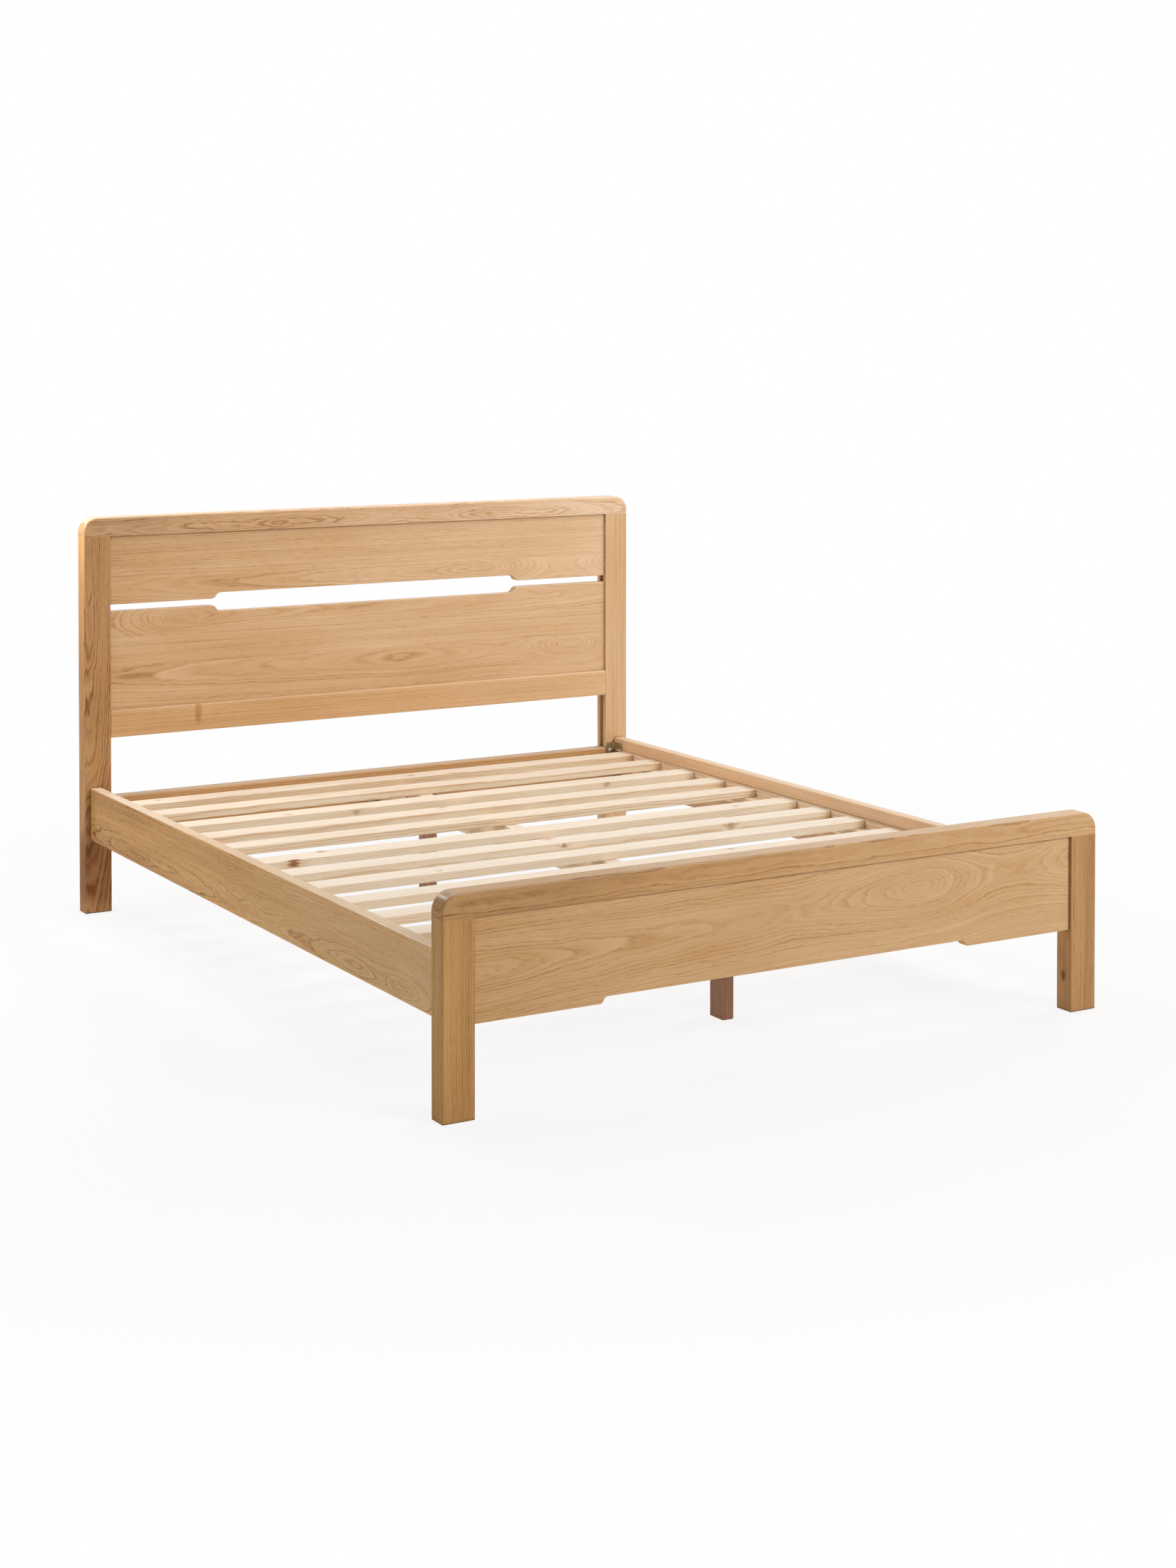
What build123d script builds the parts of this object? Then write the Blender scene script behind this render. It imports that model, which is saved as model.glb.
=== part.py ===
# Wooden bed frame: oak headboard, footboard and side rails, pine slats on ledges and a centre beam.
# Millimetres. +Z is up, the headboard stands at +Y, the origin lies on the floor under the frame's middle.
import os

from build123d import *

# Mattress well and overall heights
inner_width = 1610.0
inner_length = 2035.0
head_height = 1064.0
foot_height = 459.0

# Posts of the headboard and legs of the footboard
post_width = 74.0
post_depth = 50.0
edge_round = 5.0
edge_ease = 2.0
foot_ease = 1.5

# Top rails, which run over the posts
top_rail_height = 52.0
corner_radius = 40.0

# Grooves for the panels and stretchers, and the play left in them
groove_width = 20.0
groove_depth = 10.0
groove_setback = 15.0
tongue_play = 0.2
tongue_end_play = 0.8

# Panels, recessed behind the show face
panel_recess = 8.0
slot_middle_z = 818.0
slot_end_gap = 18.5
slot_wide_gap = 51.5
slot_half_length = 453.0
slot_step_run = 29.0
slot_step_turn = 12.0
foot_panel_end_z = 190.0
foot_panel_middle_z = 204.0
foot_arch_half_length = 461.0
foot_step_run = 20.0
foot_step_turn = 9.0

# Headboard stretchers
bottom_rail_z = 469.0
bottom_rail_height = 73.0
cross_rail_height = 112.0
cross_rail_depth = 35.0

# Side rails
rail_thickness = 30.0
rail_height = 140.0
rail_inset = 15.0
rail_bottom_z = 198.0
rail_ease = 3.0

# Slats and the ledges that carry them
slat_count = 12
slat_width = 68.0
slat_thickness = 20.0
slat_top_z = 304.0
slat_head_margin = 91.0
slat_foot_margin = 134.5
slat_wander = 18.0
slat_end_play = 1.0
ledge_lip = 9.0
ledge_width = 48.0
ledge_thickness = 22.0
ledge_end_gap = 52.0

# Centre beam and its legs
beam_width = 40.0
beam_height = 58.0
centre_leg_x = 48.0
centre_leg_width = 30.0
centre_leg_depth = 54.0
centre_leg_top_drop = 8.0
head_leg_offset = 226.0
foot_leg_offset = 328.0

# Steel hangers at the ends of the beam
hanger_gauge = 2.0
hanger_flange = 22.0
hanger_seat = 40.0
hanger_cheek = 42.0

# Steel corner brackets
bracket_gauge = 3.0
bracket_post_leaf = 27.0
bracket_rail_leaf = 47.0
bracket_height = 100.0
bracket_top_drop = 14.0
bracket_inner_bend = 1.0
bracket_corner = 5.0

# Bracket bolts and washers
bolt_diameter = 8.0
bolt_length = 25.0
bolt_head_across = 13.0
bolt_head_height = 5.3
bolt_hole_play = 0.6
bolt_edge = 25.0
post_bolt_setback = 12.5
rail_bolt_setback = 29.0
washer_diameter = 16.0
washer_thickness = 1.6

# Bolts of the centre legs
leg_bolt_edge = 15.0
leg_bolt_spread = 26.0
leg_bolt_head_diameter = 18.0
leg_bolt_head_height = 4.5
leg_bolt_head_round = 3.0
leg_bolt_end = 3.0
nut_height = 6.5

# Screws
screw_diameter = 4.0
screw_hole_play = 0.6
slat_screw_length = 36.0
slat_screw_head = 8.0
slat_screw_head_height = 2.5
slat_screw_setback = 20.0
ledge_screw_length = 46.0
pan_head_diameter = 8.0
pan_head_height = 3.0
ledge_screw_sink = 20.0
ledge_screw_sink_diameter = 10.0
hanger_screw_length = 20.0
hanger_screw_edge = 12.0

# Dowels, and the play left at the bottom of every blind hole
blind_end_play = 0.3
dowel_diameter = 10.0
dowel_length = 50.0
dowel_hole_play = 0.6
post_dowel_setback = 19.0
rail_dowel_edge = 20.0

# Places that follow from the values above
overall_width = inner_width + 2 * (rail_thickness + rail_inset)
panel_half = overall_width / 2 - post_width
post_x = overall_width / 2 - post_width / 2
head_face_y = inner_length / 2
foot_back_y = -inner_length / 2
foot_face_y = foot_back_y - post_depth
panel_thickness = groove_setback + groove_width - panel_recess
tongue_length = groove_depth - tongue_end_play
tongue_thickness = groove_width - 2 * tongue_play
groove_middle = groove_setback + groove_width / 2
rail_inner_x = inner_width / 2
rail_top_z = rail_bottom_z + rail_height
slat_under_z = slat_top_z - slat_thickness
slat_end_x = rail_inner_x - ledge_lip - slat_end_play
slat_pitch = (inner_length - slat_head_margin - slat_foot_margin) / (slat_count - 1)
slat_shares = (0, 0.55, -0.35, 0, 0.8, -1, -0.35, 0.55, 0, 0, 0, 0)
beam_left_x = centre_leg_x - beam_width
beam_middle_x = beam_left_x + beam_width / 2
beam_bottom_z = slat_under_z - beam_height
foot_panel_back_y = foot_face_y + panel_recess + panel_thickness
centre_leg_top_z = slat_under_z - centre_leg_top_drop
bracket_top_z = rail_top_z - bracket_top_drop
bolt_seat = bracket_gauge + washer_thickness
dowel_hole_radius = (dowel_diameter + dowel_hole_play) / 2
dowel_hole_depth = dowel_length / 2 + blind_end_play
bolt_hole_radius = (bolt_diameter + bolt_hole_play) / 2
screw_hole_radius = (screw_diameter + screw_hole_play) / 2
hanger_screw_depth = hanger_screw_length - hanger_gauge + blind_end_play

outward = (Align.CENTER, Align.CENTER, Align.MIN)
inward = (Align.CENTER, Align.CENTER, Align.MAX)

os.makedirs("parts", exist_ok=True)


def keep(part, name):
    """Name one finished node and write its file."""
    part.label = name
    export_step(part, f"parts/{name}.step")


def slat_y(number):
    """Middle line of a slat, counted from the headboard and shifted by its own share of the wander."""
    even_y = head_face_y - slat_head_margin - number * slat_pitch
    return even_y + slat_wander * slat_shares[number % len(slat_shares)]


def top_dowel_planes(side, face_y, z):
    """Tops of the two dowel holes where a post meets its top rail."""
    y = face_y + post_depth / 2
    spread = post_width / 2 - post_dowel_setback
    return [Plane((side * (post_x + step * spread), y, z)) for step in (-1, 1)]


def rail_dowel_planes(side, end):
    """Middles of the two dowels where a side rail meets a post, facing out of the post."""
    x = side * (rail_inner_x + rail_thickness / 2)
    heights = (rail_bottom_z + rail_dowel_edge, rail_top_z - rail_dowel_edge)
    return [Plane((x, end * inner_length / 2, z), z_dir=(0, -end, 0)) for z in heights]


def bolt_heights():
    """Heights of the two bolts in each bracket leaf."""
    return (bracket_top_z - bolt_edge, bracket_top_z - bracket_height + bolt_edge)


def post_bolt_planes(side, end):
    """Bolt places on a post, facing out of the wood."""
    x = side * (rail_inner_x - post_bolt_setback)
    return [Plane((x, end * inner_length / 2, z), z_dir=(0, -end, 0)) for z in bolt_heights()]


def rail_bolt_planes(side, end):
    """Bolt places on a side rail, facing out of the wood."""
    y = end * (inner_length / 2 - rail_bolt_setback)
    return [Plane((side * rail_inner_x, y, z), z_dir=(-side, 0, 0)) for z in bolt_heights()]


def slat_screw_plane(side, number):
    """Screw place under one end of one slat, on the underside of the ledge and facing down."""
    x = side * (slat_end_x - slat_screw_setback)
    return Plane((x, slat_y(number), slat_under_z - ledge_thickness), z_dir=(0, 0, -1))


def ledge_screw_planes(side):
    """Screw places on the inner face of a ledge, under every second gap between slats."""
    x = side * (rail_inner_x - ledge_width)
    z = slat_under_z - ledge_thickness / 2
    rows = [slat_y(number) - slat_pitch / 2 for number in range(0, slat_count - 1, 2)]
    return [Plane((x, y, z), z_dir=(-side, 0, 0)) for y in rows]


def leg_bolt_planes(leg_y):
    """Bolt places on the left face of the beam, set on a slant across one centre leg."""
    low = Plane((beam_left_x, leg_y - leg_bolt_spread / 2, beam_bottom_z + leg_bolt_edge), z_dir=(-1, 0, 0))
    high = Plane((beam_left_x, leg_y + leg_bolt_spread / 2, slat_under_z - leg_bolt_edge), z_dir=(-1, 0, 0))
    return [low, high]


def hanger_screw_planes(wall_y, facing):
    """Screw places on the flanges of a beam hanger, at the wood behind it."""
    reach = beam_width / 2 + hanger_gauge + hanger_flange / 2
    heights = (beam_bottom_z + hanger_screw_edge, slat_under_z - hanger_screw_edge)
    across = (beam_middle_x - reach, beam_middle_x + reach)
    return [Plane((x, wall_y, z), z_dir=(0, facing, 0)) for x in across for z in heights]


def make_post(side, end, face_y, height, groove_bottom_z):
    """One post or leg: side is -1 for left, end is 1 for the headboard and -1 for the footboard."""
    with BuildPart() as post:
        with BuildSketch():
            with Locations((side * post_x, face_y + post_depth / 2)):
                Rectangle(post_width, post_depth)
        extrude(amount=height)
        across = post.edges().filter_by(Axis.Z).group_by(Axis.X)
        fillet(across[-1] if side > 0 else across[0], edge_round)
        across = post.edges().filter_by(Axis.Z).group_by(Axis.X)
        fillet(across[0] if side > 0 else across[-1], edge_ease)
        chamfer(post.faces().sort_by(Axis.Z)[0].edges(), foot_ease)
        with Locations((side * panel_half, face_y + groove_middle, groove_bottom_z)):
            Box(2 * groove_depth, groove_width, height - groove_bottom_z, align=outward, mode=Mode.SUBTRACT)
        with Locations(*top_dowel_planes(side, face_y, height), *rail_dowel_planes(side, end)):
            Hole(dowel_hole_radius, dowel_hole_depth)
        with Locations(*post_bolt_planes(side, end)):
            Hole(bolt_hole_radius, bolt_length - bolt_seat + blind_end_play)
    return post.part


def make_top_rail(face_y, top_z):
    """One top rail with rounded upper corners, grooved below for its panel and bored for dowels."""
    under_z = top_z - top_rail_height
    with BuildPart() as rail:
        with BuildSketch(Plane.XZ.offset(-face_y)) as outline:
            with Locations((0, under_z)):
                Rectangle(overall_width, top_rail_height, align=(Align.CENTER, Align.MIN))
            fillet(outline.vertices().group_by(Axis.Y)[-1], corner_radius)
        extrude(amount=-post_depth)
        front_edges = rail.faces().sort_by(Axis.Y)[0].edges().sort_by(Axis.Z)[1:]
        back_edges = rail.faces().sort_by(Axis.Y)[-1].edges().sort_by(Axis.Z)[1:]
        fillet(front_edges + back_edges, edge_round)
        with Locations((0, face_y + groove_middle, under_z)):
            Box(2 * panel_half, groove_width, groove_depth, align=outward, mode=Mode.SUBTRACT)
        with Locations(*top_dowel_planes(-1, face_y, under_z), *top_dowel_planes(1, face_y, under_z)):
            Cylinder(dowel_hole_radius, dowel_hole_depth, align=outward, mode=Mode.SUBTRACT)
    return rail.part


def make_panel(face_y, end_z, middle_z, straight_z, half_length, step_run, step_turn, screw_planes=()):
    """One panel: a shaped edge that goes from middle_z to end_z in two arcs, and tongues on the other sides."""
    step_end = half_length + step_run
    turn_z = end_z + (middle_z - end_z) * step_turn / step_run
    with BuildPart() as panel:
        with BuildSketch(Plane.XZ.offset(-face_y - panel_recess)):
            with BuildLine():
                Line((0, middle_z), (half_length, middle_z))
                hollow = TangentArc((half_length, middle_z), (step_end - step_turn, turn_z), tangent=(1, 0))
                TangentArc(hollow @ 1, (step_end, end_z), tangent=hollow % 1)
                Polyline((step_end, end_z), (panel_half, end_z), (panel_half, straight_z), (0, straight_z))
                mirror(about=Plane.YZ)
            make_face()
        extrude(amount=-panel_thickness)
        edge_faces = panel.faces().filter_by(Axis.X, reverse=True).filter_by(Axis.Y, reverse=True)
        shaped_faces = edge_faces.sort_by(lambda face: abs(face.center().Z - straight_z))[1:]
        fillet(shaped_faces.edges().filter_by(Axis.Y, reverse=True), edge_ease)
        tongue_y = face_y + groove_middle
        for side in (-1, 1):
            with Locations((side * (panel_half + tongue_length / 2), tongue_y, (end_z + straight_z) / 2)):
                Box(tongue_length, tongue_thickness, abs(straight_z - end_z))
        upward = 1 if straight_z > end_z else -1
        with Locations((0, tongue_y, straight_z + upward * tongue_length / 2)):
            Box(2 * panel_half, tongue_thickness, tongue_length)
        for plane in screw_planes:
            with Locations(plane):
                Hole(screw_hole_radius, hanger_screw_depth)
    return panel.part


def make_stretcher(bottom_z, height, depth, top_groove=0.0, screw_planes=()):
    """One rail between the headboard posts, with stub tenons and, where asked for, a groove along its top."""
    with BuildPart() as stretcher:
        with Locations((0, head_face_y + depth / 2, bottom_z)):
            Box(2 * panel_half, depth, height, align=outward)
        front_edges = stretcher.faces().sort_by(Axis.Y)[0].edges().filter_by(Axis.X)
        fillet(front_edges.sort_by(Axis.Z)[-1], edge_round)
        fillet(stretcher.edges().filter_by(Axis.X).group_by(Axis.Z)[0], edge_ease)
        with Locations((0, head_face_y + groove_middle, bottom_z)):
            Box(2 * (panel_half + tongue_length), tongue_thickness, height, align=outward)
        if top_groove:
            with Locations((0, head_face_y + groove_middle, bottom_z + height)):
                Box(2 * panel_half, groove_width, top_groove, align=inward, mode=Mode.SUBTRACT)
        for plane in screw_planes:
            with Locations(plane):
                Hole(screw_hole_radius, hanger_screw_depth)
    return stretcher.part


def make_side_rail(side):
    """One side rail, bored for the end dowels, the bracket bolts and the ledge screws."""
    with BuildPart() as rail:
        with Locations((side * (rail_inner_x + rail_thickness / 2), 0, rail_bottom_z)):
            Box(rail_thickness, inner_length, rail_height, align=outward)
        fillet(rail.edges().filter_by(Axis.Y), rail_ease)
        for end in (-1, 1):
            with Locations(*rail_dowel_planes(side, end)):
                Cylinder(dowel_hole_radius, dowel_hole_depth, align=outward, mode=Mode.SUBTRACT)
            with Locations(*rail_bolt_planes(side, end)):
                Hole(bolt_hole_radius, bolt_length - bolt_seat + blind_end_play)
        with Locations(*[plane.offset(-ledge_width) for plane in ledge_screw_planes(side)]):
            Hole(screw_hole_radius, ledge_screw_length - ledge_width + ledge_screw_sink + blind_end_play)
    return rail.part


def make_ledge(side):
    """One ledge: a bearer under the slat ends with a lip behind them."""
    wall_x = side * rail_inner_x
    bottom_z = slat_under_z - ledge_thickness
    with BuildPart() as ledge:
        with BuildSketch(Plane.XZ):
            with BuildLine():
                Polyline(
                    (wall_x, bottom_z),
                    (wall_x - side * ledge_width, bottom_z),
                    (wall_x - side * ledge_width, slat_under_z),
                    (wall_x - side * ledge_lip, slat_under_z),
                    (wall_x - side * ledge_lip, slat_top_z),
                    (wall_x, slat_top_z),
                    close=True,
                )
            make_face()
        extrude(amount=head_face_y - ledge_end_gap, both=True)
        with Locations(*ledge_screw_planes(side)):
            CounterBoreHole(screw_hole_radius, ledge_screw_sink_diameter / 2, ledge_screw_sink, ledge_width)
        with Locations(*[slat_screw_plane(side, number) for number in range(slat_count)]):
            Hole(screw_hole_radius, ledge_thickness)
            Cone(
                screw_hole_radius,
                (slat_screw_head + screw_hole_play) / 2,
                slat_screw_head_height,
                align=inward,
                mode=Mode.SUBTRACT,
            )
    return ledge.part


def make_slat(number):
    """One slat with eased edges, bored from below at both ends."""
    with BuildPart() as slat:
        with Locations((0, slat_y(number), slat_under_z)):
            Box(2 * slat_end_x, slat_width, slat_thickness, align=outward)
        fillet(slat.edges().filter_by(Axis.X), edge_ease)
        screw_planes = [slat_screw_plane(side, number) for side in (-1, 1)]
        with Locations(*[plane.offset(-ledge_thickness) for plane in screw_planes]):
            Hole(screw_hole_radius, slat_screw_length - ledge_thickness + blind_end_play)
    return slat.part


def make_hanger(wall_y, facing):
    """One beam hanger: a flanged back plate with a seat and two cheeks round the end of the beam."""
    outer_width = beam_width + 2 * hanger_gauge
    with BuildPart() as hanger:
        with Locations((beam_middle_x, wall_y + facing * hanger_gauge / 2, beam_bottom_z - hanger_gauge)):
            Box(outer_width + 2 * hanger_flange, hanger_gauge, beam_height + hanger_gauge, align=outward)
        seat_y = wall_y + facing * (hanger_gauge + hanger_seat / 2)
        with Locations((beam_middle_x, seat_y, beam_bottom_z - hanger_gauge)):
            Box(outer_width, hanger_seat, hanger_gauge, align=outward)
        for step in (-1, 1):
            with Locations((beam_middle_x + step * (beam_width + hanger_gauge) / 2, seat_y, beam_bottom_z)):
                Box(hanger_gauge, hanger_seat, hanger_cheek, align=outward)
        with Locations(*hanger_screw_planes(wall_y, facing)):
            Cylinder(screw_hole_radius, 2 * hanger_gauge, align=outward, mode=Mode.SUBTRACT)
    return hanger.part


def make_centre_leg(leg_y):
    """One square leg that stands on the floor and is bolted to the right side of the beam."""
    with BuildPart() as leg:
        with Locations((centre_leg_x + centre_leg_width / 2, leg_y, 0)):
            Box(centre_leg_width, centre_leg_depth, centre_leg_top_z, align=outward)
        fillet(leg.edges().filter_by(Axis.Z), edge_ease)
        chamfer(leg.faces().sort_by(Axis.Z)[0].edges(), foot_ease)
        with Locations(*[plane.offset(-beam_width) for plane in leg_bolt_planes(leg_y)]):
            Hole(bolt_hole_radius, centre_leg_width)
    return leg.part


def make_bracket(side, end):
    """One steel angle in the corner between a side rail and a post."""
    corner_x = side * rail_inner_x
    corner_y = end * inner_length / 2
    post_tip_x = corner_x - side * bracket_post_leaf
    rail_tip_y = corner_y - end * bracket_rail_leaf
    with BuildPart() as bracket:
        with BuildSketch(Plane.XY.offset(bracket_top_z - bracket_height)) as section:
            with BuildLine():
                Polyline(
                    (corner_x, corner_y),
                    (post_tip_x, corner_y),
                    (post_tip_x, corner_y - end * bracket_gauge),
                    (corner_x - side * bracket_gauge, corner_y - end * bracket_gauge),
                    (corner_x - side * bracket_gauge, rail_tip_y),
                    (corner_x, rail_tip_y),
                    close=True,
                )
            make_face()
            bend = Vector(corner_x - side * bracket_gauge, corner_y - end * bracket_gauge)
            fillet(section.vertices().sort_by_distance(bend)[0], bracket_inner_bend)
            corner = Vector(corner_x, corner_y)
            fillet(section.vertices().sort_by_distance(corner)[0], bracket_inner_bend + bracket_gauge)
        extrude(amount=bracket_height)
        post_tip = bracket.faces().filter_by(Axis.X).sort_by_distance((post_tip_x, corner_y, bracket_top_z))[0]
        fillet(post_tip.edges().filter_by(Axis.Y), bracket_corner)
        rail_tip = bracket.faces().filter_by(Axis.Y).sort_by_distance((corner_x, rail_tip_y, bracket_top_z))[0]
        fillet(rail_tip.edges().filter_by(Axis.X), bracket_corner)
        with Locations(*post_bolt_planes(side, end), *rail_bolt_planes(side, end)):
            Cylinder(bolt_hole_radius, 2 * bracket_gauge, align=outward, mode=Mode.SUBTRACT)
    return bracket.part


sides = {"left": -1, "right": 1}
ends = {"foot": -1, "head": 1}
front_leg_y = foot_back_y + foot_leg_offset
back_leg_y = head_face_y - head_leg_offset
centre_legs = {"front_centre_leg": front_leg_y, "back_centre_leg": back_leg_y}
hanger_walls = {"foot_beam_hanger": (foot_panel_back_y, 1), "head_beam_hanger": (head_face_y, -1)}

# Headboard
head_post_height = head_height - top_rail_height
for name, side in sides.items():
    keep(make_post(side, 1, head_face_y, head_post_height, rail_bottom_z), f"headboard_{name}_post")
keep(make_top_rail(head_face_y, head_height), "headboard_top_rail")
keep(
    make_panel(
        head_face_y,
        slot_middle_z + slot_end_gap / 2,
        slot_middle_z + slot_wide_gap / 2,
        head_post_height,
        slot_half_length,
        slot_step_run,
        slot_step_turn,
    ),
    "headboard_upper_panel",
)
keep(
    make_panel(
        head_face_y,
        slot_middle_z - slot_end_gap / 2,
        slot_middle_z - slot_wide_gap / 2,
        bottom_rail_z + bottom_rail_height,
        slot_half_length,
        slot_step_run,
        slot_step_turn,
    ),
    "headboard_lower_panel",
)
keep(
    make_stretcher(bottom_rail_z, bottom_rail_height, post_depth, top_groove=groove_depth),
    "headboard_bottom_rail",
)
keep(
    make_stretcher(
        rail_bottom_z,
        cross_rail_height,
        cross_rail_depth,
        screw_planes=hanger_screw_planes(*hanger_walls["head_beam_hanger"]),
    ),
    "headboard_cross_rail",
)

# Footboard
foot_leg_height = foot_height - top_rail_height
for name, side in sides.items():
    keep(make_post(side, -1, foot_face_y, foot_leg_height, foot_panel_end_z), f"footboard_{name}_leg")
keep(make_top_rail(foot_face_y, foot_height), "footboard_top_rail")
keep(
    make_panel(
        foot_face_y,
        foot_panel_end_z,
        foot_panel_middle_z,
        foot_leg_height,
        foot_arch_half_length,
        foot_step_run,
        foot_step_turn,
        screw_planes=hanger_screw_planes(*hanger_walls["foot_beam_hanger"]),
    ),
    "footboard_panel",
)

# Side rails, ledges and slats
for name, side in sides.items():
    keep(make_side_rail(side), f"{name}_side_rail")
    keep(make_ledge(side), f"{name}_slat_ledge")
for number in range(slat_count):
    keep(make_slat(number), f"slat_{number + 1:02d}")

# Centre beam with its hangers and legs
with BuildPart() as centre_beam:
    beam_start_y = foot_panel_back_y + hanger_gauge
    beam_end_y = head_face_y - hanger_gauge
    with Locations((beam_middle_x, (beam_start_y + beam_end_y) / 2, beam_bottom_z)):
        Box(beam_width, beam_end_y - beam_start_y, beam_height, align=outward)
    fillet(centre_beam.edges().filter_by(Axis.Y), edge_ease)
    for leg_y in centre_legs.values():
        with Locations(*leg_bolt_planes(leg_y)):
            Hole(bolt_hole_radius, beam_width)
keep(centre_beam.part, "centre_beam")
for name, (wall_y, facing) in hanger_walls.items():
    keep(make_hanger(wall_y, facing), name)
for name, leg_y in centre_legs.items():
    keep(make_centre_leg(leg_y), name)

# Corner brackets, their bolts and washers
bracket_bolt_planes = []
rail_dowels = []
for end_name, end in ends.items():
    for side_name, side in sides.items():
        keep(make_bracket(side, end), f"{end_name}_{side_name}_bracket")
        bracket_bolt_planes += post_bolt_planes(side, end) + rail_bolt_planes(side, end)
        rail_dowels += rail_dowel_planes(side, end)
with BuildPart() as bracket_washers:
    with BuildSketch(*[plane.offset(bracket_gauge) for plane in bracket_bolt_planes]):
        Circle(washer_diameter / 2)
        Circle(bolt_hole_radius, mode=Mode.SUBTRACT)
    extrude(amount=washer_thickness)
keep(bracket_washers.part, "bracket_washers")
with BuildPart() as bracket_bolts:
    bolt_seats = [plane.offset(bolt_seat) for plane in bracket_bolt_planes]
    with BuildSketch(*bolt_seats):
        RegularPolygon(bolt_head_across / 2, 6, major_radius=False)
    extrude(amount=bolt_head_height)
    with Locations(*bolt_seats):
        Cylinder(bolt_diameter / 2, bolt_length, align=inward)
keep(bracket_bolts.part, "bracket_bolts")

# Bolts, washers and nuts of the centre legs
leg_bolts = [plane for leg_y in centre_legs.values() for plane in leg_bolt_planes(leg_y)]
nut_seat = beam_width + centre_leg_width + washer_thickness
nut_seats = [plane.offset(-nut_seat) for plane in leg_bolts]
with BuildPart() as centre_leg_bolts:
    with Locations(*leg_bolts):
        Cylinder(leg_bolt_head_diameter / 2, leg_bolt_head_height, align=outward)
    fillet(centre_leg_bolts.faces().group_by(Axis.X)[0].edges(), leg_bolt_head_round)
    with Locations(*leg_bolts):
        Cylinder(bolt_diameter / 2, nut_seat + nut_height + leg_bolt_end, align=inward)
keep(centre_leg_bolts.part, "centre_leg_bolts")
with BuildPart() as centre_leg_washers:
    with BuildSketch(*nut_seats):
        Circle(washer_diameter / 2)
        Circle(bolt_hole_radius, mode=Mode.SUBTRACT)
    extrude(amount=washer_thickness)
keep(centre_leg_washers.part, "centre_leg_washers")
with BuildPart() as centre_leg_nuts:
    with BuildSketch(*nut_seats):
        RegularPolygon(bolt_head_across / 2, 6, major_radius=False)
        Circle(bolt_hole_radius, mode=Mode.SUBTRACT)
    extrude(amount=-nut_height)
keep(centre_leg_nuts.part, "centre_leg_nuts")

# Screws
with BuildPart() as slat_screws:
    for number in range(slat_count):
        with Locations(slat_screw_plane(-1, number), slat_screw_plane(1, number)):
            Cone(screw_diameter / 2, slat_screw_head / 2, slat_screw_head_height, align=inward)
            Cylinder(screw_diameter / 2, slat_screw_length, align=inward)
keep(slat_screws.part, "slat_screws")
with BuildPart() as ledge_screws:
    ledge_faces = ledge_screw_planes(-1) + ledge_screw_planes(1)
    with Locations(*[plane.offset(-ledge_screw_sink) for plane in ledge_faces]):
        Cylinder(pan_head_diameter / 2, pan_head_height, align=outward)
        Cylinder(screw_diameter / 2, ledge_screw_length, align=inward)
keep(ledge_screws.part, "ledge_screws")
with BuildPart() as hanger_screws:
    hanger_backs = [plane for wall in hanger_walls.values() for plane in hanger_screw_planes(*wall)]
    with Locations(*[plane.offset(hanger_gauge) for plane in hanger_backs]):
        Cylinder(pan_head_diameter / 2, pan_head_height, align=outward)
        Cylinder(screw_diameter / 2, hanger_screw_length, align=inward)
keep(hanger_screws.part, "hanger_screws")

# Dowels
with BuildPart() as headboard_dowels:
    for side in sides.values():
        with Locations(*top_dowel_planes(side, head_face_y, head_post_height)):
            Cylinder(dowel_diameter / 2, dowel_length)
keep(headboard_dowels.part, "headboard_dowels")
with BuildPart() as footboard_dowels:
    for side in sides.values():
        with Locations(*top_dowel_planes(side, foot_face_y, foot_leg_height)):
            Cylinder(dowel_diameter / 2, dowel_length)
keep(footboard_dowels.part, "footboard_dowels")
with BuildPart() as side_rail_dowels:
    with Locations(*rail_dowels):
        Cylinder(dowel_diameter / 2, dowel_length)
keep(side_rail_dowels.part, "side_rail_dowels")
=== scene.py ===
from collections import namedtuple
from math import radians

import bpy
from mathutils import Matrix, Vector


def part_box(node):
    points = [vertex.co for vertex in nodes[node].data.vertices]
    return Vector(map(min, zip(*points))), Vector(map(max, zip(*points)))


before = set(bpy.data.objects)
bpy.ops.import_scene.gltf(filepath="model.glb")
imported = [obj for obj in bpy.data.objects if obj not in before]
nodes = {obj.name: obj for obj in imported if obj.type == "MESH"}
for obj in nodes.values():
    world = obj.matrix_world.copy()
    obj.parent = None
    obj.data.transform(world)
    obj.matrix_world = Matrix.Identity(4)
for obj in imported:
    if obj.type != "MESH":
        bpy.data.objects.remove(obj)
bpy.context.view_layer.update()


# Headboard posts: two square oak posts, sawn with the grain upright and finished in satin lacquer.
# The left is flat-sawn, with nested arches and a painted shadow on its foot under the side rail; the
# right is straight-grained.
# Each is grooved on its inner side for the panels and the rails between them.
def srgb(red, green, blue):
    """A screen colour, 0 to 255 in each part, as the linear values that a shader takes."""
    parts = [value / 255 for value in (red, green, blue)]
    linear = [p / 12.92 if p <= 0.04045 else ((p + 0.055) / 1.055) ** 2.4 for p in parts]
    return (*linear, 1.0)


def node(tree, kind, inputs=None, **settings):
    """Add one node: an input given as a socket is linked, any other value is set on the input itself."""
    made = tree.nodes.new(kind)
    for name, value in settings.items():
        setattr(made, name, value)
    for name, value in (inputs or {}).items():
        if isinstance(value, bpy.types.NodeSocket):
            tree.links.new(value, made.inputs[name])
        else:
            made.inputs[name].default_value = value
    return made


def calc(tree, operation, first, second=0.0, third=0.0):
    """One step of arithmetic on sockets or numbers."""
    inputs = {0: first, 1: second, 2: third}
    return node(tree, "ShaderNodeMath", inputs, operation=operation).outputs[0]


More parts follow.
